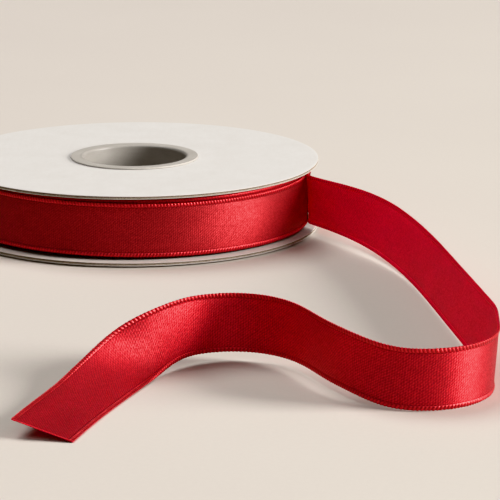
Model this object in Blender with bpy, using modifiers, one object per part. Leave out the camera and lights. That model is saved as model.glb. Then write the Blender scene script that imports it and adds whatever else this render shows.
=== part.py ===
"""Ribbon spool: two paper-faced card discs on a two-piece hub, a wound roll of
satin ribbon between them, and the ribbon's free end lying beside the spool.

Metres, +Z up.  The origin is on the spool's axis, on the surface it stands on.
The free end leaves the roll on the +X side and comes round the -Y side.
"""

import math

import bmesh
import bpy

# ---------------------------------------------------------------------------
# Driving dimensions
# ---------------------------------------------------------------------------
MM = 0.001

DISC_R = 57.15 * MM            # 4 1/2 in discs
DISC_HOLE_R = 17.75 * MM       # punched hole, loose on the hub tube
FACE_T = 0.20 * MM             # outer paper
BOARD_T = 0.60 * MM            # card
LINING_T = 0.15 * MM           # inner paper
GLUE_GAP = 0.05 * MM           # glue line between paper and card
INSIDE_W = 19.05 * MM          # 3/4 in between the discs

BORE_R = 15.875 * MM           # 1 1/4 in bore
HUB_TUBE_R = 17.45 * MM        # outside of the hub tube
COLLAR_R = 19.80 * MM          # outside of the collars
COLLAR_T = 0.45 * MM
COLLAR_GAP = 0.10 * MM         # play between collar and disc
COLLAR_ROUND = 0.20 * MM
SPIGOT_R = 16.55 * MM          # thin wall of the upper half, inside the lower one
SOCKET_R = 16.75 * MM          # thin wall of the lower half, around the spigot
SPIGOT_LEN = 4.5 * MM
LAP_GAP = 0.30 * MM            # end play of the lap

CORE_R = 20.50 * MM
CORE_PLAY = 0.30 * MM

RIBBON_W = 16.0 * MM           # 5/8 in ribbon
RIBBON_T = 0.25 * MM
RIBBON_LIFT = 1.05 * MM        # ribbon's lower edge above the bottom disc
ROLL_IN_R = CORE_R + 0.30 * MM
ROLL_R = 54.30 * MM
INNER_TURNS_R = 53.55 * MM     # older turns stand a little higher than the last ones
INNER_TURNS_RISE = 0.90 * MM

# free end: angles in degrees, lengths along its lower edge
TAIL_EDGE_LEN = 372.55 * MM    # 377 mm along its middle
TAIL_GAP = 0.55 * MM           # between the roll and the start of the free end
TAIL_EXIT_DEG = -6.82          # where it leaves the roll, from +X
TAIL_FLOOR = 0.30 * MM         # lower edge above the table
TAIL_DROP = (3.04 * MM, 86.52 * MM)  # where it starts down to the table, and how long it takes
# each bend: (turn in degrees, where it starts, how long it takes)
BEND_LEAD = (42.4, -0.68 * MM, 6.45 * MM)
BEND_RUN = (-27.36, -24.61 * MM, 134.98 * MM)
BEND_BACK = (-166.27, 163.48 * MM, 95.13 * MM)
BEND_WAVE = (138.4, 250.31 * MM, 72.51 * MM)
BEND_END = (4.96, 321.17 * MM, 65.62 * MM)
# lean of the ribbon off the vertical: (degrees, start, length)
LEAN_IN = (-7.28, -1.99 * MM, 9.89 * MM)
LEAN_OUT = (22.3, 2.27 * MM, 48.62 * MM)
LEAN_BACK = (-10.89, 155.12 * MM, 31.74 * MM)
LEAN_FLAT = (-42.96, 286.12 * MM, 68.38 * MM)
LEAN_DOWN = (-35.15, 295.27 * MM, 34.66 * MM)
# the wave stands a little off the table: (height, start, length)
LIFT_UP = (2.18 * MM, 215.01 * MM, 29.21 * MM)
LIFT_DOWN = (-2.18 * MM, 294.61 * MM, 24.45 * MM)

RING_STEPS = 72
HUB_STEPS = 64
TAIL_STEPS = 150

# heights, from the table up
Z_COLLAR_LOW = COLLAR_T
Z_BOTTOM_FACE = Z_COLLAR_LOW + COLLAR_GAP
Z_BOTTOM_BOARD = Z_BOTTOM_FACE + FACE_T + GLUE_GAP
Z_BOTTOM_LINING = Z_BOTTOM_BOARD + BOARD_T + GLUE_GAP
Z_INSIDE_LOW = Z_BOTTOM_LINING + LINING_T
Z_INSIDE_HIGH = Z_INSIDE_LOW + INSIDE_W
Z_TOP_BOARD = Z_INSIDE_HIGH + LINING_T + GLUE_GAP
Z_TOP_FACE = Z_TOP_BOARD + BOARD_T + GLUE_GAP
Z_TOP = Z_TOP_FACE + FACE_T
Z_COLLAR_HIGH = Z_TOP + COLLAR_GAP
Z_ALL = Z_COLLAR_HIGH + COLLAR_T
Z_RIBBON = Z_INSIDE_LOW + RIBBON_LIFT
Z_LAP = Z_ALL / 2.0


# ---------------------------------------------------------------------------
# Scene, collections, materials
# ---------------------------------------------------------------------------
for old in list(bpy.data.objects):
    bpy.data.objects.remove(old, do_unlink=True)

spool = bpy.data.collections.new("ribbon_spool")
bpy.context.scene.collection.children.link(spool)


def finish(name, colour, roughness):
    mat = bpy.data.materials.new(name)
    mat.use_nodes = True
    shader = mat.node_tree.nodes["Principled BSDF"]
    shader.inputs["Base Color"].default_value = (*colour, 1.0)
    shader.inputs["Roughness"].default_value = roughness
    shader.inputs["Metallic"].default_value = 0.0
    mat.diffuse_color = (*colour, 1.0)
    return mat


def axis_empty(name):
    empty = bpy.data.objects.new(name, None)
    empty.empty_display_size = 0.02
    spool.objects.link(empty)
    return empty


def add(name, mesh, mat, parent):
    obj = bpy.data.objects.new(name, mesh)
    spool.objects.link(obj)
    obj.parent = parent
    mesh.materials.append(mat)
    return obj


def turned(name, profile, steps, mat, parent):
    """Closed profile of (radius, height) points, down the outer side first,
    turned once round the Z axis."""
    bm = bmesh.new()
    verts = [bm.verts.new((r, 0.0, z)) for r, z in profile]
    for a, b in zip(verts, verts[1:] + verts[:1]):
        bm.edges.new((a, b))
    mesh = bpy.data.meshes.new(name)
    bm.to_mesh(mesh)
    bm.free()
    obj = add(name, mesh, mat, parent)
    screw = obj.modifiers.new("turn", "SCREW")
    screw.axis = "Z"
    screw.angle = 2.0 * math.pi
    screw.screw_offset = 0.0
    screw.steps = steps
    screw.render_steps = steps
    screw.use_merge_vertices = True
    screw.merge_threshold = 0.00001
    screw.use_smooth_shade = True
    return obj


def ring(r_out, r_in, z_low, z_high):
    """Plain rectangular ring section."""
    return [(r_out, z_high), (r_out, z_low), (r_in, z_low), (r_in, z_high)]


def rim_round(z_out, side):
    """Rounded rim of a collar, from its outside to its flat: side is +1 on the
    upper collar and -1 on the lower one."""
    return [(COLLAR_R - COLLAR_ROUND * (1.0 - math.cos(a)),
             z_out - side * COLLAR_ROUND * (1.0 - math.sin(a)))
            for a in (0.0, math.pi / 4.0, math.pi / 2.0)]


def bore_round(z_out, side):
    """Rounded mouth of the bore, from the collar's flat to the bore's wall."""
    return [(BORE_R + COLLAR_ROUND * (1.0 - math.cos(a)),
             z_out - side * COLLAR_ROUND * (1.0 - math.sin(a)))
            for a in (math.pi / 2.0, math.pi / 4.0, 0.0)]


# ---------------------------------------------------------------------------
# Route of the free end
# ---------------------------------------------------------------------------
def ease(x):
    """Smooth step with no jump in curvature at its ends."""
    x = min(max(x, 0.0), 1.0)
    return x * x * x * (x * (6.0 * x - 15.0) + 10.0)


def bend(change, s):
    """How much of a (total, start, length) change has happened at s."""
    total, start, length = change
    return total * ease((s - start) / length)


def heading(s):
    """Plan direction of the ribbon at s, in radians from +X."""
    bends = (BEND_LEAD, BEND_RUN, BEND_BACK, BEND_WAVE, BEND_END)
    return math.radians(TAIL_EXIT_DEG - 90.0 + sum(bend(b, s) for b in bends))


def lean(s):
    """Lean of the ribbon off the vertical, in radians, to the left of travel."""
    leans = (LEAN_IN, LEAN_OUT, LEAN_BACK, LEAN_FLAT, LEAN_DOWN)
    return math.radians(sum(bend(b, s) for b in leans))


def height(s):
    """Height of the lower edge at s."""
    start, length = TAIL_DROP
    drop = (Z_RIBBON - TAIL_FLOOR) * (1.0 - ease((s - start) / length))
    return TAIL_FLOOR + drop + bend(LIFT_UP, s) + bend(LIFT_DOWN, s)


def climb(s):
    """Slope angle of the lower edge at s, in radians."""
    d = 0.5 * MM
    return math.asin((height(s + d) - height(s - d)) / (2.0 * d))


def tail_route(count):
    """Lower-edge point and across-direction at count + 1 places."""
    a = math.radians(TAIL_EXIT_DEG)
    r = ROLL_R + TAIL_GAP + RIBBON_T / 2.0
    x, y = r * math.cos(a), r * math.sin(a)
    fine = 8
    step = TAIL_EDGE_LEN / (count * fine)
    out = []
    for i in range(count * fine + 1):
        s = i * step
        if i:
            h = heading(s - step / 2.0)
            plan = step * math.cos(climb(s - step / 2.0))
            x += plan * math.cos(h)
            y += plan * math.sin(h)
        if i % fine == 0:
            h, c, q = heading(s), climb(s), lean(s)
            upright = (-math.sin(c) * math.cos(h), -math.sin(c) * math.sin(h), math.cos(c))
            left = (-math.sin(h), math.cos(h), 0.0)
            across = [u * math.cos(q) + v * math.sin(q) for u, v in zip(upright, left)]
            out.append(((x, y, height(s)), across))
    return out


def tail_mesh(name):
    """A flat grid, TAIL_STEPS long and one wide, laid along the route."""
    bm = bmesh.new()
    bmesh.ops.create_grid(bm, x_segments=TAIL_STEPS, y_segments=1, size=0.5)
    route = tail_route(TAIL_STEPS)
    for v in bm.verts:
        point, across = route[round((v.co.x + 0.5) * TAIL_STEPS)]
        w = (v.co.y + 0.5) * RIBBON_W
        v.co = [p + w * d for p, d in zip(point, across)]
    mesh = bpy.data.meshes.new(name)
    bm.to_mesh(mesh)
    bm.free()
    mesh.shade_smooth()
    return mesh


# ---------------------------------------------------------------------------
# Pieces
# ---------------------------------------------------------------------------
grey = finish("hub_grey", (0.46, 0.43, 0.39), 0.55)
white = finish("face_paper", (0.80, 0.77, 0.74), 0.75)
lining = finish("lining_paper", (0.74, 0.69, 0.64), 0.80)
card = finish("card", (0.17, 0.13, 0.10), 0.85)
tube_card = finish("tube_card", (0.30, 0.23, 0.16), 0.85)
satin = finish("ribbon_satin", (0.42, 0.004, 0.010), 0.40)
satin_tail = finish("ribbon_satin_tail", (0.42, 0.004, 0.010), 0.40)

hub_axis = axis_empty("hub_axis")
top_axis = axis_empty("top_disc_axis")
bottom_axis = axis_empty("bottom_disc_axis")
roll_axis = axis_empty("roll_axis")
for moving in (top_axis, bottom_axis, roll_axis):
    moving.parent = hub_axis

# hub: the upper half ends in a thin spigot inside the lower half's thin socket
turned("hub_upper",
       rim_round(Z_ALL, 1.0)[::-1]
       + [(COLLAR_R, Z_COLLAR_HIGH), (HUB_TUBE_R, Z_COLLAR_HIGH),
          (HUB_TUBE_R, Z_LAP + SPIGOT_LEN / 2.0), (SPIGOT_R, Z_LAP + SPIGOT_LEN / 2.0),
          (SPIGOT_R, Z_LAP - SPIGOT_LEN / 2.0), (BORE_R, Z_LAP - SPIGOT_LEN / 2.0)]
       + bore_round(Z_ALL, 1.0)[::-1],
       HUB_STEPS, grey, hub_axis)
turned("hub_lower",
       [(HUB_TUBE_R, Z_LAP + SPIGOT_LEN / 2.0 - LAP_GAP),
        (HUB_TUBE_R, Z_COLLAR_LOW), (COLLAR_R, Z_COLLAR_LOW)]
       + rim_round(0.0, -1.0) + bore_round(0.0, -1.0)
       + [(BORE_R, Z_LAP - SPIGOT_LEN / 2.0 - LAP_GAP),
          (SOCKET_R, Z_LAP - SPIGOT_LEN / 2.0 - LAP_GAP),
          (SOCKET_R, Z_LAP + SPIGOT_LEN / 2.0 - LAP_GAP)],
       HUB_STEPS, grey, hub_axis)

# discs
turned("bottom_disc_face", ring(DISC_R, DISC_HOLE_R, Z_BOTTOM_FACE, Z_BOTTOM_FACE + FACE_T),
       RING_STEPS, white, bottom_axis)
turned("bottom_disc_board", ring(DISC_R, DISC_HOLE_R, Z_BOTTOM_BOARD, Z_BOTTOM_BOARD + BOARD_T),
       RING_STEPS, card, bottom_axis)
turned("bottom_disc_lining", ring(DISC_R, DISC_HOLE_R, Z_BOTTOM_LINING, Z_INSIDE_LOW),
       RING_STEPS, lining, bottom_axis)
turned("top_disc_lining", ring(DISC_R, DISC_HOLE_R, Z_INSIDE_HIGH, Z_INSIDE_HIGH + LINING_T),
       RING_STEPS, lining, top_axis)
turned("top_disc_board", ring(DISC_R, DISC_HOLE_R, Z_TOP_BOARD, Z_TOP_BOARD + BOARD_T),
       RING_STEPS, card, top_axis)
turned("top_disc_face", ring(DISC_R, DISC_HOLE_R, Z_TOP_FACE, Z_TOP),
       RING_STEPS, white, top_axis)

# core and wound ribbon
turned("core_tube", ring(CORE_R, DISC_HOLE_R, Z_INSIDE_LOW + CORE_PLAY, Z_INSIDE_HIGH - CORE_PLAY),
       HUB_STEPS, tube_card, roll_axis)
z0, z1 = Z_RIBBON, Z_RIBBON + RIBBON_W
turned("ribbon_roll",
       [(INNER_TURNS_R, z1 + INNER_TURNS_RISE), (INNER_TURNS_R, z1), (ROLL_R, z1), (ROLL_R, z0),
        (ROLL_IN_R, z0), (ROLL_IN_R, z1 + INNER_TURNS_RISE)],
       RING_STEPS, satin, roll_axis)

# free end
tail = add("ribbon_tail", tail_mesh("ribbon_tail"), satin_tail, roll_axis)
thick = tail.modifiers.new("thickness", "SOLIDIFY")
thick.thickness = RIBBON_T
thick.offset = 0.0
thick.use_even_offset = True
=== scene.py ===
"""Looks of the ribbon spool: paper-faced card discs, a moulded grey hub, a wound
roll of red satin ribbon with corded edges, and the ribbon's free end.

Metres, +Z up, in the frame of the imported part.  Ribbon sections are worked out in
millimetres and scaled when the meshes are made.
"""

import math

import bpy
import numpy as np
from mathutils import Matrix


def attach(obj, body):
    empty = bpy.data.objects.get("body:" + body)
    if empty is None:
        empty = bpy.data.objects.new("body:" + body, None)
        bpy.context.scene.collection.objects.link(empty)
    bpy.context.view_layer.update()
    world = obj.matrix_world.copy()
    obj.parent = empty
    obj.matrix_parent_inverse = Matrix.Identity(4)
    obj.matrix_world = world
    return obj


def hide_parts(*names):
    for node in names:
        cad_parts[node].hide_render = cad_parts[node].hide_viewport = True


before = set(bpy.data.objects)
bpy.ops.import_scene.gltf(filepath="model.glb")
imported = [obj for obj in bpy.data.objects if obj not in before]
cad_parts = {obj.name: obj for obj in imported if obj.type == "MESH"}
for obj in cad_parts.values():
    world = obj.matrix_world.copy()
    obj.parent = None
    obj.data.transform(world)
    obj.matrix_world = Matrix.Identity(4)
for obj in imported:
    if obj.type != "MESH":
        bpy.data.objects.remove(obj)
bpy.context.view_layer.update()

MM = 0.001

# ---------------------------------------------------------------------------
# Dimensions of the part, in millimetres
# ---------------------------------------------------------------------------
DISC_R, DISC_HOLE_R = 57.15, 17.75
Z_BOTTOM_FACE = (0.55, 0.75)
Z_BOTTOM_BOARD = (0.80, 1.40)
Z_BOTTOM_LINING = (1.45, 1.60)
Z_TOP_LINING = (20.65, 20.80)
Z_TOP_BOARD = (20.85, 21.45)
Z_TOP_FACE = (21.50, 21.70)
BORE_R, HUB_TUBE_R, COLLAR_R = 15.875, 17.45, 19.80
COLLAR_T, Z_ALL = 0.45, 22.25
Z_LAP, SPIGOT_R, SOCKET_R, SPIGOT_LEN, LAP_GAP = 11.125, 16.55, 16.75, 4.5, 0.30
CORE_R, CORE_LOW, CORE_HIGH = 20.50, 1.90, 20.35

RIBBON_W, RIBBON_T = 16.0, 0.25
Z_RIBBON = 2.65
ROLL_IN_R, ROLL_R = 20.80, 54.30
OLD_RISE, OLD_RECESS = 0.90, 0.90
TURN_PITCH = 0.27

# free end: each change is (amount, where it starts, how long it takes)
TAIL_EDGE_LEN, TAIL_GAP, TAIL_EXIT_DEG = 372.55, 0.30, -6.82
TAIL_FLOOR, TAIL_DROP = 0.30, (3.04, 86.52)
BENDS = ((42.4, -0.68, 6.45), (-27.36, -24.61, 134.98), (-166.27, 163.48, 95.13),
         (138.4, 250.31, 72.51), (4.96, 321.17, 65.62))
LEANS = ((-7.28, -1.99, 9.89), (22.3, 2.27, 48.62), (-10.89, 155.12, 31.74),
         (-42.96, 286.12, 68.38), (-35.15, 295.27, 34.66))
LIFTS = ((2.18, 215.01, 29.21), (-2.18, 294.61, 24.45))

# corded edges of the ribbon
BEAD_PITCH = 0.98
BEAD_SLANT = 0.40
CORD_W = 1.14


# ---------------------------------------------------------------------------
# Mesh helpers
# ---------------------------------------------------------------------------
def make_piece(name, verts, quads, extra=(), uv=None, marks=None, mats=(), face_mat=None,
               sharp_deg=50.0):
    """Object from vertices in mm, an array of quads and a list of other faces."""
    mesh = bpy.data.meshes.new(name)
    quads = np.asarray(quads, np.int32).reshape(-1, 4)
    loops = [quads.ravel()]
    starts = [np.arange(len(quads), dtype=np.int32) * 4]
    at = len(quads) * 4
    for face in extra:
        loops.append(np.asarray(face, np.int32))
        starts.append(np.array([at], np.int32))
        at += len(face)
    loops = np.concatenate(loops)
    starts = np.concatenate(starts)
    mesh.vertices.add(len(verts))
    mesh.vertices.foreach_set("co", (np.asarray(verts) * MM).astype(np.float32).ravel())
    mesh.loops.add(len(loops))
    mesh.loops.foreach_set("vertex_index", loops)
    mesh.polygons.add(len(starts))
    mesh.polygons.foreach_set("loop_start", starts)
    mesh.update(calc_edges=True)
    for mat in mats:
        mesh.materials.append(mat)
    if face_mat is not None:
        mesh.polygons.foreach_set("material_index", np.asarray(face_mat, np.int32))
    if uv is not None:
        layer = mesh.uv_layers.new(name="ribbon")
        layer.data.foreach_set("uv", np.asarray(uv)[loops].astype(np.float32).ravel())
    for key, values in (marks or {}).items():
        attribute = mesh.attributes.new(key, "FLOAT", "POINT")
        attribute.data.foreach_set("value", np.asarray(values, np.float32))
    mesh.shade_smooth()
    mesh.set_sharp_from_angle(angle=math.radians(sharp_deg))
    obj = bpy.data.objects.new(name, mesh)
    bpy.context.scene.collection.objects.link(obj)
    return obj


def rounded(corners, steps=5):
    """Closed (radius, height) profile with its corners rounded: each corner is
    (radius, height, rounding).  A point just past each arc keeps the flats flat."""
    pts = []
    count = len(corners)
    for i, (x, z, rad) in enumerate(corners):
        p = np.array([x, z])
        if rad <= 0.0:
            pts.append(p)
            continue
        a = np.array(corners[i - 1][:2]) - p
        b = np.array(corners[(i + 1) % count][:2]) - p
        la, lb = np.linalg.norm(a), np.linalg.norm(b)
        a, b = a / la, b / lb
        half = math.acos(max(-1.0, min(1.0, float(a @ b)))) / 2.0
        t = min(rad / math.tan(half), 0.45 * la, 0.45 * lb)
        rad = t * math.tan(half)
        centre = p + (a + b) / np.linalg.norm(a + b) * rad / math.sin(half)
        start, end = p + a * t - centre, p + b * t - centre
        turn = math.atan2(start[0] * end[1] - start[1] * end[0], float(start @ end))
        pts.append(p + a * t * 1.25)
        for k in range(steps + 1):
            w = turn * k / steps
            c, s = math.cos(w), math.sin(w)
            pts.append(centre + np.array([c * start[0] - s * start[1],
                                          s * start[0] + c * start[1]]))
        pts.append(p + b * t * 1.25)
    return np.array(pts)


def turned(name, profile, segs, mats, shift=None, sharp_deg=50.0, marks=None):
    """Profile, down its outer side first, turned round Z.  shift(angles, profile)
    may add (radial, height) offsets."""
    profile = np.asarray(profile, float)
    m = len(profile)
    ang = np.linspace(0.0, 2.0 * math.pi, segs, endpoint=False)
    rad = np.repeat(profile[None, :, 0], segs, 0)
    hgt = np.repeat(profile[None, :, 1], segs, 0)
    if shift is not None:
        dr, dz = shift(ang, profile)
        rad, hgt = rad + dr, hgt + dz
    verts = np.stack([rad * np.cos(ang)[:, None], rad * np.sin(ang)[:, None], hgt], -1)
    i, j = np.meshgrid(np.arange(segs), np.arange(m), indexing="ij")
    k, n = (i + 1) % segs, (j + 1) % m
    quads = np.stack([i * m + j, i * m + n, k * m + n, k * m + j], -1)
    return make_piece(name, verts.reshape(-1, 3), quads.reshape(-1, 4), mats=mats,
                      sharp_deg=sharp_deg)


def jitter(k, seed=0.0):
    """Repeatable number from 0 to 1 for each whole number k."""
    x = np.sin(np.asarray(k, float) * 12.9898 + seed * 78.233) * 43758.5453
    return x - np.floor(x)


def smooth_noise(x, seed=0.0):
    """Smooth repeatable noise from -1 to 1 along x, one cycle or so per unit."""
    k = np.floor(x)
    f = x - k
    f = f * f * (3.0 - 2.0 * f)
    return 2.0 * (jitter(k, seed) * (1.0 - f) + jitter(k + 1.0, seed) * f) - 1.0


# ---------------------------------------------------------------------------
# Materials
# ---------------------------------------------------------------------------
class Finish:
    """One node material: a Principled shader with helpers to add nodes to it."""

    def __init__(self, name, **fixed):
        self.mat = bpy.data.materials.new(name)
        self.mat.use_nodes = True
        self.tree = self.mat.node_tree
        self.shader = self.tree.nodes["Principled BSDF"]
        for key, value in fixed.items():
            self.shader.inputs[key.replace("_", " ")].default_value = value

    def node(self, kind, ins=None, **props):
        n = self.tree.nodes.new(kind)
        for key, value in props.items():
            setattr(n, key, value)
        for key, value in (ins or {}).items():
            self.put(n.inputs[key], value)
        return n

    def put(self, socket, value):
        if isinstance(value, bpy.types.NodeSocket):
            self.tree.links.new(value, socket)
        else:
            socket.default_value = value

    def math(self, op, a, b=0.0, c=0.0, clamp=False):
        n = self.node("ShaderNodeMath", operation=op, use_clamp=clamp)
        for socket, value in zip(n.inputs, (a, b, c)):
            self.put(socket, value)
        return n.outputs[0]

    def span(self, value, low, high, to_low, to_high):
        n = self.node("ShaderNodeMapRange")
        for key, x in (("Value", value), ("From Min", low), ("From Max", high),
                       ("To Min", to_low), ("To Max", to_high)):
            self.put(n.inputs[key], x)
        return n.outputs[0]

    def ramp(self, value, stops):
        n = self.node("ShaderNodeValToRGB", {"Fac": value})
        el = n.color_ramp.elements
        while len(el) < len(stops):
            el.new(0.5)
        for e, (pos, col) in zip(el, stops):
            e.position = pos
            e.color = (*col, 1.0)
        return n.outputs["Color"]

    def shade(self, colour, factor):
        """Colour times a grey factor."""
        n = self.node("ShaderNodeVectorMath", operation="SCALE")
        self.put(n.inputs[0], colour)
        self.put(n.inputs["Scale"], factor)
        return n.outputs[0]

    def noise(self, vector, scale, detail=2.0, rough=0.5, dims="3D"):
        n = self.node("ShaderNodeTexNoise", {"Scale": scale, "Detail": detail,
                                             "Roughness": rough}, noise_dimensions=dims)
        self.put(n.inputs["Vector"], vector)
        return n.outputs["Fac"]

    def place(self):
        return self.node("ShaderNodeTexCoord").outputs["Object"]

    def scaled(self, vector, x, y, z):
        n = self.node("ShaderNodeVectorMath", operation="MULTIPLY")
        self.put(n.inputs[0], vector)
        n.inputs[1].default_value = (x, y, z)
        return n.outputs[0]

    def relief(self, height, strength, depth):
        n = self.node("ShaderNodeBump", {"Strength": strength, "Distance": depth,
                                         "Height": height})
        self.put(self.shader.inputs["Normal"], n.outputs["Normal"])


def satin(name, dark, light, metallic, rough, aniso, weave, see_through, depth=0.0014):
    """Woven red satin.  The ribbon map runs along the ribbon (x) and across it (y),
    in millimetres."""
    f = Finish(name, Metallic=metallic, Anisotropic=aniso, Anisotropic_Rotation=0.25,
               Specular_IOR_Level=SATIN_SHINE, Coat_Weight=SATIN_GLAZE, Coat_Roughness=0.60,
               Coat_IOR=1.6, Subsurface_Weight=see_through,
               Subsurface_Scale=depth)
    f.shader.inputs["Subsurface Radius"].default_value = (1.0, 0.06, 0.10)
    uv = f.node("ShaderNodeUVMap", uv_map="ribbon").outputs[0]
    tangent = f.node("ShaderNodeTangent", direction_type="UV_MAP", uv_map="ribbon")
    f.put(f.shader.inputs["Tangent"], tangent.outputs[0])
    place = f.node("ShaderNodeSeparateXYZ", {"Vector": uv})
    along, across = place.outputs[0], place.outputs[1]

    # the weave drifts a little, so that its lines are never ruled
    drift = f.noise(f.scaled(uv, 0.22, 0.22, 0.0), 1.0, 2.0, 0.5, "2D")
    drift = f.span(drift, 0.2, 0.8, -0.9, 0.9)

    def lines(a, b, shift):
        phase = f.math("MULTIPLY_ADD", along, a, f.math("MULTIPLY_ADD", across, b,
                                                        f.math("MULTIPLY", drift, shift)))
        wave = f.math("COSINE", f.math("MULTIPLY", phase, 2.0 * math.pi))
        return f.math("MULTIPLY_ADD", wave, 0.5, 0.5)

    twill = lines(0.95, 1.26, 0.35)      # slanting lines of the floats, 0.63 mm apart
    ribs = lines(1.0 / 0.66, 0.05, 0.35)  # weft ribs across the ribbon, 0.66 mm apart
    # single floats: small cells, each with its own brightness
    cells = f.node("ShaderNodeTexVoronoi", {"Scale": 1.0, "Randomness": 0.75},
                   voronoi_dimensions="2D", feature="F1")
    f.put(cells.inputs["Vector"], f.scaled(uv, 1.0 / 0.42, 1.0 / 0.33, 0.0))
    each = f.node("ShaderNodeSeparateColor", {"Color": cells.outputs["Color"]}).outputs[0]
    # warp streaks along the ribbon, and slow changes of tone
    streak = f.noise(f.scaled(uv, 0.10, 5.5, 0.0), 1.0, 2.0, 0.6, "2D")
    slow = f.noise(f.scaled(uv, 0.055, 0.11, 0.0), 1.0, 2.0, 0.5, "2D")
    # the mark read here is painted shade, set in the stitch rows, between the beads and deep in the roll
    groove_shade = f.node("ShaderNodeAttribute", attribute_name="groove_shade").outputs["Fac"]

    tone = f.math("MULTIPLY_ADD", twill, 0.36, f.math("MULTIPLY_ADD", ribs, 0.34,
                                                      f.math("MULTIPLY", each, 0.30)))
    colour = f.ramp(f.span(tone, 0.5 - 0.5 / weave, 0.5 + 0.5 / weave, 0.0, 1.0),
                    ((0.0, dark), (1.0, light)))
    amount = f.math("MULTIPLY", f.span(slow, 0.3, 0.7, 0.95, 1.05),
                    f.span(streak, 0.3, 0.7, 0.95, 1.05))
    # painted shade: the colour is darkened where that mark is set
    amount = f.math("MULTIPLY", amount, f.math("SUBTRACT", 1.0, f.math("MULTIPLY", groove_shade, 0.85)))
    f.put(f.shader.inputs["Base Color"], f.shade(colour, amount))
    f.put(f.shader.inputs["Roughness"],
          f.math("ADD", f.span(each, 0.0, 1.0, rough + 0.06, rough - 0.06),
                 f.math("MULTIPLY", groove_shade, 0.15)))
    f.relief(f.math("MULTIPLY_ADD", streak, 0.4, tone), 0.5 * weave, 0.00008)
    return f.mat


def paper(name, low, high, rough, fibre_scale, depth, flecks=0.0):
    """Matte paper: cloudy formation, fibres and a fine tooth."""
    f = Finish(name, Metallic=0.0, Specular_IOR_Level=0.30)
    at = f.place()
    cloud = f.noise(at, 90.0, 3.0, 0.55)
    tooth = f.noise(at, fibre_scale, 4.0, 0.65)
    fibre = f.noise(f.scaled(at, 1.0, 0.28, 1.0), fibre_scale * 0.45, 3.0, 0.6)
    mix = f.math("ADD", f.math("MULTIPLY", cloud, 0.45),
                 f.math("ADD", f.math("MULTIPLY", tooth, 0.25), f.math("MULTIPLY", fibre, 0.30)))
    colour = f.ramp(mix, ((0.30, low), (0.70, high)))
    if flecks:
        spots = f.noise(at, fibre_scale * 0.8, 1.0, 0.5)
        colour = f.shade(colour, f.span(spots, 0.66, 0.72, 1.0, 1.0 - flecks))
    f.put(f.shader.inputs["Base Color"], colour)
    f.put(f.shader.inputs["Roughness"], f.span(tooth, 0.3, 0.7, rough - 0.06, rough + 0.06))
    f.relief(f.math("ADD", tooth, f.math("MULTIPLY", fibre, 0.8)), 0.35, depth)
    return f.mat


def card(name):
    """Cut edge of grey board: pressed plies, fibres along the edge, dark specks."""
    f = Finish(name, Metallic=0.0, Specular_IOR_Level=0.2)
    at = f.place()
    ply = f.node("ShaderNodeAttribute", attribute_name="ply").outputs["Fac"]
    fibre = f.noise(f.scaled(at, 1.0, 1.0, 3.0), 1900.0, 4.0, 0.7)
    speck = f.noise(at, 2600.0, 2.0, 0.6)
    tone = f.math("ADD", f.math("MULTIPLY", ply, 0.75),
                  f.math("MULTIPLY", f.span(fibre, 0.3, 0.7, -0.5, 0.5), 0.55))
    colour = f.ramp(tone, ((0.0, (0.110, 0.083, 0.060)), (0.45, (0.350, 0.290, 0.230)),
                           (1.0, (0.640, 0.560, 0.470))))
    colour = f.shade(colour, f.span(speck, 0.58, 0.66, 1.0, 0.55))
    f.put(f.shader.inputs["Base Color"], colour)
    f.put(f.shader.inputs["Roughness"], f.span(fibre, 0.3, 0.7, 0.80, 0.95))
    f.relief(fibre, 0.6, 0.0002)
    return f.mat


def moulded(name):
    """Warm grey moulded plastic, satin, with a fine grain and a trace of flow."""
    f = Finish(name, Metallic=0.0, Specular_IOR_Level=0.5)
    at = f.place()
    grain = f.noise(at, 2400.0, 3.0, 0.6)
    flow = f.noise(f.scaled(at, 1.0, 1.0, 4.0), 110.0, 3.0, 0.5)
    tone = f.math("ADD", f.math("MULTIPLY", grain, 0.35), f.math("MULTIPLY", flow, 0.65))
    colour = f.ramp(tone, ((0.30, (0.382, 0.356, 0.324)), (0.70, (0.449, 0.421, 0.385))))
    # painted light and shade: paler out on the collar and darker down the bore, set by distance from the axis
    flat = f.scaled(at, 1.0, 1.0, 0.0)
    radius = f.node("ShaderNodeVectorMath", {0: flat}, operation="LENGTH").outputs["Value"]
    f.put(f.shader.inputs["Base Color"],
          f.shade(colour, f.span(radius, BORE_R * MM, 0.0172, 0.80, 1.28)))
    f.put(f.shader.inputs["Roughness"], f.span(grain, 0.3, 0.7, 0.36, 0.50))
    f.relief(grain, 0.25, 0.00004)
    return f.mat


def kraft(name):
    """Brown spiral-wound tube card."""
    f = Finish(name, Metallic=0.0, Specular_IOR_Level=0.25)
    at = f.place()
    fibre = f.noise(f.scaled(at, 1.0, 1.0, 0.35), 1500.0, 4.0, 0.65)
    cloud = f.noise(at, 160.0, 3.0, 0.5)
    tone = f.math("ADD", f.math("MULTIPLY", fibre, 0.6), f.math("MULTIPLY", cloud, 0.4))
    f.put(f.shader.inputs["Base Color"],
          f.ramp(tone, ((0.30, (0.215, 0.150, 0.095)), (0.70, (0.345, 0.260, 0.180)))))
    f.put(f.shader.inputs["Roughness"], f.span(fibre, 0.3, 0.7, 0.75, 0.92))
    f.relief(fibre, 0.5, 0.00012)
    return f.mat


def table_top(name):
    """Plain pale warm table."""
    f = Finish(name, Metallic=0.0, Specular_IOR_Level=0.15)
    at = f.place()
    tooth = f.noise(at, 700.0, 3.0, 0.6)
    cloud = f.noise(at, 9.0, 2.0, 0.5)
    tone = f.math("ADD", f.math("MULTIPLY", tooth, 0.6), f.math("MULTIPLY", cloud, 0.4))
    f.put(f.shader.inputs["Base Color"],
          f.ramp(tone, ((0.30, (0.680, 0.627, 0.573)), (0.70, (0.710, 0.656, 0.600)))))
    f.put(f.shader.inputs["Roughness"], f.span(tooth, 0.3, 0.7, 0.75, 0.90))
    f.relief(tooth, 0.15, 0.0001)
    return f.mat


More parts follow.
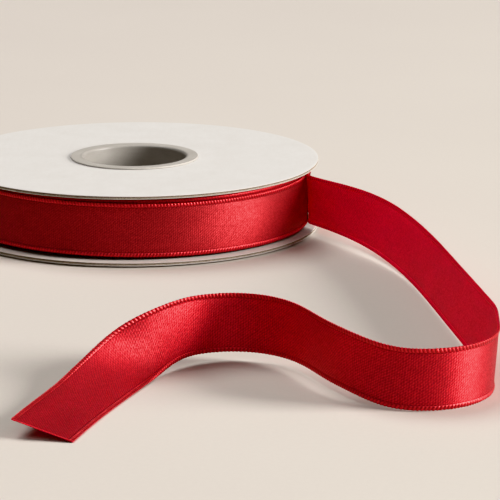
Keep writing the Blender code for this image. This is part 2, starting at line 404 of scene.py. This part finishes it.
SATIN_SHINE, SATIN_GLAZE = 0.30, 0.14
satin_face = satin("satin_face", (0.34, 0.0235, 0.031), (0.78, 0.0565, 0.074),
                   0.78, 0.702, 0.778, 1.15, 1.00)
# painted shade: the wound roll uses a copy of the face satin with a darker base colour, though it is the same
# ribbon
satin_wound_shaded = satin("satin_wound_shaded", (0.285, 0.028, 0.032), (0.67, 0.069, 0.080),
                    0.93, 0.702, 0.778, 1.0, 0.00)
satin_back = satin("satin_back", (0.25, 0.0048, 0.018), (0.62, 0.0125, 0.0475),
                   0.14, 0.70, 0.60, 1.4, 0.90, 0.0011)
satin_cord = satin("satin_cord", (0.46, 0.034, 0.042), (0.80, 0.064, 0.077),
                   0.82, 0.42, 0.00, 0.5, 0.80)
satin_edge = satin("satin_edge", (0.50, 0.0095, 0.037), (0.88, 0.0178, 0.0665),
                   0.30, 0.45, 0.00, 0.5, 1.00, 0.0014)
LOOSE_FINISH = (satin_face, satin_back, satin_cord, satin_edge)
WOUND_FINISH = (satin_wound_shaded, satin_back, satin_cord, satin_back)
white_paper = paper("white_paper", (0.698, 0.670, 0.640), (0.760, 0.736, 0.709), 0.72, 1500.0, 0.00005)
inner_paper = paper("inner_paper", (0.690, 0.650, 0.605), (0.760, 0.722, 0.680), 0.78, 1300.0, 0.00006, 0.08)
grey_card = card("grey_card")
hub_grey = moulded("hub_grey")
tube_card = kraft("tube_card")


# ---------------------------------------------------------------------------
# Ribbon
# ---------------------------------------------------------------------------
EDGE_ROWS = (0.05, 0.20, 0.42, 0.64, 0.86, 1.02, 1.12, 1.26, 1.42)
BODY_ROWS = (3.6, 8.0)
FLAT_ROWS = (0.3, 1.1)


def across_rows(edge=EDGE_ROWS, body=BODY_ROWS):
    """Places across the ribbon, from its lower edge, at which its section is set."""
    half = list(edge) + list(body)
    return np.array(half + [RIBBON_W - v for v in half[::-1] if v < RIBBON_W / 2.0 - 1e-6])


def section(u, v, thick):
    """Half thickness and painted-shade mark of the ribbon at u along it and v across it.
    Its edges are cords of slanting beads, with a row of stitches inside each; the mark
    is painted shade, darkest in the stitch row and in the gaps between the beads."""
    lower = v < RIBBON_W / 2.0
    e = np.where(lower, v, RIBBON_W - v)
    phase = (u + BEAD_SLANT * e) / BEAD_PITCH + np.where(lower, 0.0, 0.37)
    phase = phase + 0.10 * smooth_noise(u / 7.0, 23.0)
    bead = np.floor(phase)
    x = 2.0 * (phase - bead) - 1.0
    lump = np.cos(0.5 * math.pi * x) ** 1.3
    lump = lump * (0.82 + 0.30 * jitter(bead, 3.0))
    dome = np.sqrt(np.clip(1.0 - ((e - 0.52) / 0.60) ** 2, 0.0, 1.0))
    cord = 0.060 + dome * (0.080 + 0.250 * lump) * thick
    well = np.clip((e - 1.24) / 0.18, 0.0, 1.0)
    well = 0.050 + (0.125 - 0.050) * well * well * (3.0 - 2.0 * well)
    half = np.where(e < CORD_W, cord, well)
    # painted shade: dark dots along the stitch row and dark gaps between the beads
    stitch_shade = 0.55 + 0.45 * np.cos(2.0 * math.pi * (phase + 0.5))
    groove_shade = np.clip(1.0 - np.abs(e - 1.24) / 0.18, 0.0, 1.0) * stitch_shade
    bead_gap_shade = np.where(e < 1.10, 0.7 * (1.0 - np.clip(lump, 0.0, 1.0)) ** 1.3, 0.0)
    return half, np.maximum(groove_shade, bead_gap_shade)


def strip(points, across, normal, u, rows, thick=1.0, back_rows=None, back_thick=None,
          closed_end=0.0):
    """Vertices, quads, end faces, map, marks and face materials of a length of ribbon.
    points are its lower edge, across and normal unit vectors, u lengths, all in mm."""
    back = rows if back_rows is None else back_rows
    n = len(u)
    place = np.concatenate([[0.0], rows, [RIBBON_W], back[::-1]])
    side = np.concatenate([[0.0], np.ones(len(rows)), [0.0], -np.ones(len(back))])
    m = len(place)
    uu, vv = np.repeat(u[:, None], m, 1), np.repeat(place[None, :], n, 0)
    bulk = np.where(side < 0.0, thick if back_thick is None else back_thick, thick)
    half, groove_shade = section(uu, vv, bulk[None, :])
    if closed_end:
        # a heat-cut end: the last fraction of a millimetre is fused and a little thicker
        near = np.clip(1.0 - (u[-1] - u) / closed_end, 0.0, 1.0)[:, None]
        half = half * (1.0 - near) + (0.20 * np.sqrt(np.clip(1.0 - near ** 4, 0.0, 1.0)) + 0.03) * near
        groove_shade = groove_shade * (1.0 - near)
    e = np.minimum(vv, RIBBON_W - vv)
    swell = np.clip(1.0 - e / 0.6, 0.0, 1.0) * (half - 0.06) * 0.5
    if back_thick is None:
        # the loose edge itself bulges with each bead
        rim, _ = section(uu, np.where(vv < RIBBON_W / 2.0, 0.5, RIBBON_W - 0.5), thick)
        swell = np.where(side[None, :] == 0.0, (rim - 0.22) * 0.14, swell)
    shift = np.where(vv < RIBBON_W / 2.0, -swell, swell)
    where = vv + shift
    off = half * side[None, :]
    verts = (points[:, None, :] + across[:, None, :] * where[..., None]
             + normal[:, None, :] * off[..., None])
    i, j = np.meshgrid(np.arange(n - 1), np.arange(m), indexing="ij")
    k = (j + 1) % m
    quads = np.stack([i * m + j, i * m + k, (i + 1) * m + k, (i + 1) * m + j], -1).reshape(-1, 4)
    face = np.where((np.arange(m) < len(rows) + 1), 0, 1)
    middle = 0.5 * (place + place[(np.arange(m) + 1) % m])
    at_cord = np.minimum(middle, RIBBON_W - middle) < CORD_W
    face = np.where(at_cord, np.where(face == 0, 2, 3), face)
    face = np.repeat(face[None, :], n - 1, 0).ravel()
    ends = [list(range(m - 1, -1, -1)), list(range((n - 1) * m, n * m))]
    uv = np.stack([uu, vv], -1).reshape(-1, 2)
    return verts.reshape(-1, 3), quads, ends, uv, groove_shade.ravel(), face


def ease(x):
    x = np.clip(x, 0.0, 1.0)
    return x * x * x * (x * (6.0 * x - 15.0) + 10.0)


def bend(change, s):
    total, start, length = change
    return total * ease((s - start) / length)


def heading(s):
    return np.radians(TAIL_EXIT_DEG - 90.0 + sum(bend(b, s) for b in BENDS))


def lean(s):
    return np.radians(sum(bend(b, s) for b in LEANS))


def height(s):
    start, length = TAIL_DROP
    drop = (Z_RIBBON - TAIL_FLOOR) * (1.0 - ease((s - start) / length))
    return TAIL_FLOOR + drop + sum(bend(b, s) for b in LIFTS)


def climb(s):
    return np.arcsin((height(s + 0.5) - height(s - 0.5)) / 1.0)


def tail_route(step=0.18):
    """Lower edge, across and face directions of the free end, every step mm."""
    count = int(round(TAIL_EDGE_LEN / step))
    s = np.linspace(0.0, TAIL_EDGE_LEN, count + 1)
    ds = s[1] - s[0]
    mid = s[:-1] + ds / 2.0
    plan = ds * np.cos(climb(mid))
    a = math.radians(TAIL_EXIT_DEG)
    r = ROLL_R + TAIL_GAP + RIBBON_T / 2.0
    x = r * math.cos(a) + np.concatenate([[0.0], np.cumsum(plan * np.cos(heading(mid)))])
    y = r * math.sin(a) + np.concatenate([[0.0], np.cumsum(plan * np.sin(heading(mid)))])
    points = np.stack([x, y, height(s)], -1)
    h, c, q = heading(s), climb(s), lean(s)
    upright = np.stack([-np.sin(c) * np.cos(h), -np.sin(c) * np.sin(h), np.cos(c)], -1)
    left = np.stack([-np.sin(h), np.cos(h), 0.0 * h], -1)
    across = upright * np.cos(q)[:, None] + left * np.sin(q)[:, None]
    along = np.gradient(points + across * RIBBON_W / 2.0, axis=0)
    along /= np.linalg.norm(along, axis=1)[:, None]
    normal = np.cross(across, along)
    normal /= np.linalg.norm(normal, axis=1)[:, None]
    return s, points, across, normal


def make_tail():
    s, points, across, normal = tail_route()
    middle = points + across * RIBBON_W / 2.0
    u = np.concatenate([[0.0], np.cumsum(np.linalg.norm(np.diff(middle, axis=0), axis=1))])
    rows = across_rows()
    verts, quads, ends, uv, groove_shade, face = strip(points, across, normal, u, rows, closed_end=0.5)
    piece = make_piece("ribbon_free_end", verts, quads, ends, uv, {"groove_shade": groove_shade},
                       LOOSE_FINISH, np.concatenate([face, [2, 2]]), sharp_deg=70.0)
    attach(piece, "roll")
    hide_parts("ribbon_tail")
    return piece


def make_roll():
    """The wound ribbon: the last turn, which runs on into the free end, two older
    turns that stand a little higher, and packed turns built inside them."""
    start = math.radians(TAIL_EXIT_DEG)
    verts, quads, extra, uv, groove_shade, face, at = [], [], [], [], [], [], 0

    def at_exit(t):
        """Where the older turns come out from under the last one, just before the exit."""
        return ease((t - 1.72) / 0.20) * (1.0 - ease((t - 1.97) / 0.15))

    def spiral(turn0, turn1, step, rows, thick, shade=0.0):
        nonlocal at
        length = 2.0 * math.pi * ROLL_R * (turn1 - turn0)
        t = np.linspace(turn1, turn0, int(round(length / step)) + 1)
        phi = start + 2.0 * math.pi * t
        lift = (TAIL_GAP + RIBBON_T) * ease(1.0 - t / 0.11)
        recess = OLD_RECESS * ease((t - 1.10) / 0.15) * (1.0 - 0.75 * at_exit(t))
        r = ROLL_R - RIBBON_T / 2.0 - TURN_PITCH * t + lift - recess
        r = r + 0.035 * smooth_noise(t * 9.0, 1.0) * ease(t / 0.05) * (t < 1.0)
        u = -2.0 * math.pi * ROLL_R * t
        # the last turn climbs to the left and dips again before it passes the exit
        last = height(np.maximum(u, -60.0)) + 0.45 * ease((t - 0.02) / 0.35) - 0.85 * ease((t - 0.60) / 0.36)
        older = Z_RIBBON + OLD_RISE + 0.10 * smooth_noise(t * 2.2, 5.0)
        low = last + (older - last) * ease((t - 1.10) / 0.20)
        points = np.stack([r * np.cos(phi), r * np.sin(phi), low], -1)
        out = np.stack([np.cos(phi), np.sin(phi), 0.0 * phi], -1)
        up = np.repeat(np.array([[0.0, 0.0, 1.0]]), len(t), 0)
        v, q, ends, m, g, fc = strip(points, up, out, u, rows, thick, across_rows(FLAT_ROWS, (8.0,)), 0.2)
        verts.append(v)
        quads.append(q + at)
        extra.extend([[x + at for x in e] for e in ends])
        uv.append(m)
        # painted shade: the older turns are darkened below their top 0.55 mm, as shade from the last turn and the
        # disc above would fall, and less so near the exit
        if shade:
            near = at_exit(-m[:, 0] / (2.0 * math.pi * ROLL_R))
            g = np.maximum(g, np.where(m[:, 1] > RIBBON_W - 0.55 - near, shade * (1.0 - near), 1.0))
        groove_shade.append(g)
        face.append(fc)
        at += len(v)

    spiral(0.0, 1.0, 0.18, across_rows(), 1.0)
    spiral(1.0, 3.0, 0.40, across_rows((0.12, 0.40, 0.70, 1.00, 1.14, 1.42), (8.0,)), 0.75, 0.35)

    # packed inner turns: one ridge for each turn's edge, above and below
    outer = ROLL_R - RIBBON_T / 2.0 - TURN_PITCH * 3.0 - OLD_RECESS - 0.05
    edges = np.arange(outer, ROLL_IN_R + 0.6, -4.0 * TURN_PITCH)
    top, low = Z_RIBBON + RIBBON_W + OLD_RISE, Z_RIBBON + OLD_RISE
    upper, lower = [], []
    for k, r in enumerate(edges):
        dz = 0.10 * (jitter(k, 11.0) - 0.5) - 0.40
        upper += [(r, top - 0.14 + dz), (r - 0.10, top + dz), (r - 0.90, top + dz), (r - 1.00, top - 0.14 + dz)]
        dz = 0.10 * (jitter(k, 17.0) - 0.5) - 0.45
        lower += [(r, low + 0.14 + dz), (r - 0.10, low + dz), (r - 0.90, low + dz), (r - 1.00, low + 0.14 + dz)]
    profile = np.array([(outer, top - 0.6), (outer, low + 0.4)] + lower
                       + [(ROLL_IN_R, low + 0.3), (ROLL_IN_R, top - 0.3)] + upper[::-1])
    segs, m = 48, len(profile)
    ang = np.linspace(0.0, 2.0 * math.pi, segs, endpoint=False)
    v = np.stack([profile[None, :, 0] * np.cos(ang)[:, None],
                  profile[None, :, 0] * np.sin(ang)[:, None],
                  np.repeat(profile[None, :, 1], segs, 0)], -1).reshape(-1, 3)
    i, j = np.meshgrid(np.arange(segs), np.arange(m), indexing="ij")
    k, n = (i + 1) % segs, (j + 1) % m
    q = np.stack([i * m + j, i * m + n, k * m + n, k * m + j], -1).reshape(-1, 4)
    verts.append(v)
    quads.append(q + at)
    uv.append(np.stack([np.repeat(ang[:, None] * 50.0, m, 1).ravel(),
                        np.tile(profile[:, 0], segs)], -1))
    # painted shade: the packed turns are darkened, most at the valleys between their edges
    valley_shade = np.tile(np.where((np.arange(m) % 4 == 0) | (np.arange(m) % 4 == 3), 0.9, 0.6), segs)
    groove_shade.append(valley_shade)
    face.append(np.zeros(len(q), int))

    face_all = np.concatenate(face)
    piece = make_piece("ribbon_wound_roll", np.concatenate(verts), np.concatenate(quads), extra,
                       np.concatenate(uv), {"groove_shade": np.concatenate(groove_shade)},
                       WOUND_FINISH, np.concatenate([face_all, np.zeros(len(extra), int)]),
                       sharp_deg=70.0)
    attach(piece, "roll")
    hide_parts("ribbon_roll")
    return piece


# ---------------------------------------------------------------------------
# Discs, hub and core
# ---------------------------------------------------------------------------
def paper_ring(name, z, out_side, mat, node, body):
    """A punched paper ring whose cut edge is pulled down a little on its outer side."""
    low, high = z
    face, back = (high, low) if out_side > 0 else (low, high)
    steps = np.linspace(DISC_R - 1.0, DISC_HOLE_R + 0.6, 14)
    outer_face = [(DISC_R, face - out_side * 0.045, 0.055), (DISC_R - 0.45, face - out_side * 0.004, 0.0)]
    inner_face = [(DISC_HOLE_R + 0.25, face, 0.0), (DISC_HOLE_R, face - out_side * 0.02, 0.03)]
    flat = [(r, face, 0.0) for r in steps]
    rim = [(DISC_R, back, 0.012)]
    hole = [(DISC_HOLE_R, back, 0.012)]
    if out_side > 0:
        corners = outer_face[:1] + rim + hole + inner_face[::-1] + flat[::-1] + outer_face[1:][::-1]
    else:
        corners = rim + outer_face[:1] + outer_face[1:] + flat + inner_face + hole

    def wave(ang, prof):
        inside = np.clip((DISC_R - 0.8 - prof[:, 0]) / 4.0, 0.0, 1.0) * np.clip((prof[:, 0] - DISC_HOLE_R - 0.8) / 4.0, 0.0, 1.0)
        on_face = np.abs(prof[:, 1] - face) < 0.01
        dz = (0.012 * np.sin(3.0 * ang[:, None] + prof[None, :, 0] * 0.21)
              + 0.010 * np.sin(5.0 * ang[:, None] - prof[None, :, 0] * 0.33 + 1.3))
        dr = np.zeros_like(dz) + 0.010 * smooth_noise(ang[:, None] * 60.0, 2.0) * (prof[None, :, 0] > DISC_R - 0.2)
        return dr, -abs(1.0) * out_side * np.abs(dz) * (inside * on_face)[None, :]

    piece = turned(name, rounded(corners), 360, (mat,), wave)
    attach(piece, body)
    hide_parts(node)
    return piece


def board_ring(name, z, dark_side, node, body):
    """Grey board between the papers: a rough cut edge in two plies."""
    low, high = z
    rows = np.linspace(high, low, 11)
    rim = [(DISC_R - (0.05 if k in (0, 10) else 0.0), r) for k, r in enumerate(rows)]
    hole = [(DISC_HOLE_R, r) for r in rows[::-3]]
    profile = np.array(rim + hole)
    segs, m = 900, len(profile)

    def rough(ang, prof):
        dr = np.zeros((segs, m))
        k = np.arange(segs)
        for row in range(11):
            dr[:, row] = (0.030 * (jitter(k + 31 * row, 1.0) - 0.5)
                          + 0.030 * smooth_noise(k / 5.0, 7.0 + row // 3)
                          + 0.015 * smooth_noise(k / 23.0, 9.0))
        dr[:, 5] -= 0.07
        dr[:, 4] -= 0.02
        return dr - 0.03 * (np.arange(m) < 11)[None, :], np.zeros((segs, m))

    piece = turned(name, profile, segs, (grey_card,), rough, sharp_deg=75.0)
    depth = (profile[:, 1] - low) / (high - low)
    ply = np.where(depth > 0.5, 0.30, 0.80) if dark_side > 0 else np.where(depth > 0.5, 0.80, 0.30)
    ply = np.where(np.abs(depth - 0.5) < 0.06, 0.0, ply)
    attribute = piece.data.attributes.new("ply", "FLOAT", "POINT")
    attribute.data.foreach_set("value", np.tile(ply, segs).astype(np.float32))
    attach(piece, body)
    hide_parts(node)
    return piece


def make_hub():
    top, lap_low, lap_high = Z_ALL, Z_LAP - SPIGOT_LEN / 2.0, Z_LAP + SPIGOT_LEN / 2.0
    upper = [(COLLAR_R, top - 0.02, 0.16), (COLLAR_R, top - COLLAR_T, 0.05),
             (HUB_TUBE_R, top - COLLAR_T, 0.10), (HUB_TUBE_R, lap_high, 0.08),
             (SPIGOT_R, lap_high, 0.08), (SPIGOT_R, lap_low, 0.12), (BORE_R, lap_low, 0.10),
             (BORE_R, top, 0.95), (17.6, top, 0.0), (18.6, top - 0.005, 0.0)]
    lower = [(HUB_TUBE_R, lap_high - LAP_GAP, 0.08), (HUB_TUBE_R, COLLAR_T, 0.10),
             (COLLAR_R, COLLAR_T, 0.05), (COLLAR_R, 0.0, 0.16), (18.6, 0.0, 0.0), (17.6, 0.0, 0.0),
             (BORE_R, 0.0, 0.95), (BORE_R, lap_low - LAP_GAP, 0.10),
             (SOCKET_R, lap_low - LAP_GAP, 0.08), (SOCKET_R, lap_high - LAP_GAP, 0.08)]
    for name, corners, node in (("hub_upper_half", upper, "hub_upper"), ("hub_lower_half", lower, "hub_lower")):
        piece = turned(name, rounded(corners, 8), 240, (hub_grey,))
        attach(piece, "hub")
        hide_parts(node)


def make_core():
    """Wound card tube with its plies showing at both ends and a helical seam."""
    plies = 5
    wall = np.linspace(CORE_R, DISC_HOLE_R + 0.02, plies + 1)
    rim_top, rim_low = [], []
    for a, b in zip(wall[:-1], wall[1:]):
        for r, d in ((a - 0.03, 0.05), (a - 0.10, 0.0), (b + 0.10, 0.0), (b + 0.03, 0.05)):
            rim_top.append((r, CORE_HIGH - d))
            rim_low.append((r, CORE_LOW + d))
    levels = np.linspace(CORE_HIGH - 0.15, CORE_LOW + 0.15, 40)
    profile = ([(CORE_R, z) for z in levels] + rim_low
               + [(DISC_HOLE_R + 0.02, z) for z in levels[::-5]] + rim_top[::-1])
    profile = np.array(profile)

    def seam(ang, prof):
        turn = (prof[None, :, 1] / 38.0 - ang[:, None] / (2.0 * math.pi)) % 1.0
        dip = np.exp(-((turn - 0.5) / 0.012) ** 2)
        return -0.12 * dip * (np.abs(prof[None, :, 0] - CORE_R) < 0.01), 0.0 * dip

    piece = turned("core_card_tube", profile, 180, (tube_card,), seam)
    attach(piece, "roll")
    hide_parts("core_tube")


# ---------------------------------------------------------------------------
# Stage, lights and camera
# ---------------------------------------------------------------------------
def make_stage():
    n = 24
    xs = np.linspace(-4000.0, 4000.0, n)
    gx, gy = np.meshgrid(xs, xs, indexing="ij")
    verts = np.stack([gx, gy, 0.0 * gx], -1).reshape(-1, 3)
    i, j = np.meshgrid(np.arange(n - 1), np.arange(n - 1), indexing="ij")
    quads = np.stack([i * n + j, (i + 1) * n + j, (i + 1) * n + j + 1, i * n + j + 1], -1)
    floor = make_piece("table_surface", verts, quads.reshape(-1, 4), mats=(table_top("table_top"),))


def area_light(name, direction, target, distance, size, watts, colour):
    d = np.array(direction, float)
    d /= np.linalg.norm(d)
    light = bpy.data.lights.new(name, "AREA")
    light.shape = "RECTANGLE"
    light.size, light.size_y = size
    light.energy = watts
    light.color = colour
    obj = bpy.data.objects.new(name, light)
    bpy.context.scene.collection.objects.link(obj)
    obj.location = np.array(target) + d * distance
    from mathutils import Vector
    obj.rotation_euler = Vector(-d).to_track_quat("-Z", "Y").to_euler()
    return obj


def make_lights():
    target = (0.02, -0.08, 0.0)
    area_light("key_softbox", (0.925, -0.197, 0.326), target, 3.0, (1.1, 1.4), 160.0, (1.0, 0.975, 0.945))
    area_light("top_softbox", (-0.299, 0.299, 0.906), target, 3.0, (2.0, 2.0), 56.0, (1.0, 0.985, 0.965))
    area_light("fill_softbox", (0.120, -0.697, 0.707), target, 3.0, (2.2, 2.2), 18.0, (1.0, 0.985, 0.97))
    world = bpy.data.worlds.new("studio")
    bpy.context.scene.world = world
    world.use_nodes = True
    background = world.node_tree.nodes["Background"]
    background.inputs["Color"].default_value = (1.0, 0.965, 0.925, 1.0)
    background.inputs["Strength"].default_value = 0.03


def make_camera():
    cam = bpy.data.cameras.new("camera")
    cam.sensor_fit = "HORIZONTAL"
    cam.sensor_width = 36.0
    cam.lens = 36.0 * 2939.82 / 500.0
    cam.clip_start, cam.clip_end = 0.05, 20.0
    obj = bpy.data.objects.new("camera", cam)
    bpy.context.scene.collection.objects.link(obj)
    obj.location = (0.035954, -0.896675, 0.206242)
    obj.rotation_euler = (math.radians(90.0 - 13.4434), 0.0, 0.0)
    bpy.context.scene.camera = obj


make_camera()
make_tail()
make_roll()
paper_ring("top_face_paper", Z_TOP_FACE, 1, white_paper, "top_disc_face", "top_disc")
board_ring("top_card_board", Z_TOP_BOARD, 1, "top_disc_board", "top_disc")
paper_ring("top_lining_paper", Z_TOP_LINING, -1, inner_paper, "top_disc_lining", "top_disc")
paper_ring("bottom_lining_paper", Z_BOTTOM_LINING, 1, inner_paper, "bottom_disc_lining", "bottom_disc")
board_ring("bottom_card_board", Z_BOTTOM_BOARD, 1, "bottom_disc_board", "bottom_disc")
paper_ring("bottom_face_paper", Z_BOTTOM_FACE, -1, white_paper, "bottom_disc_face", "bottom_disc")
make_hub()
make_core()
make_stage()
make_lights()

bpy.context.scene.view_settings.view_transform = "Khronos PBR Neutral"
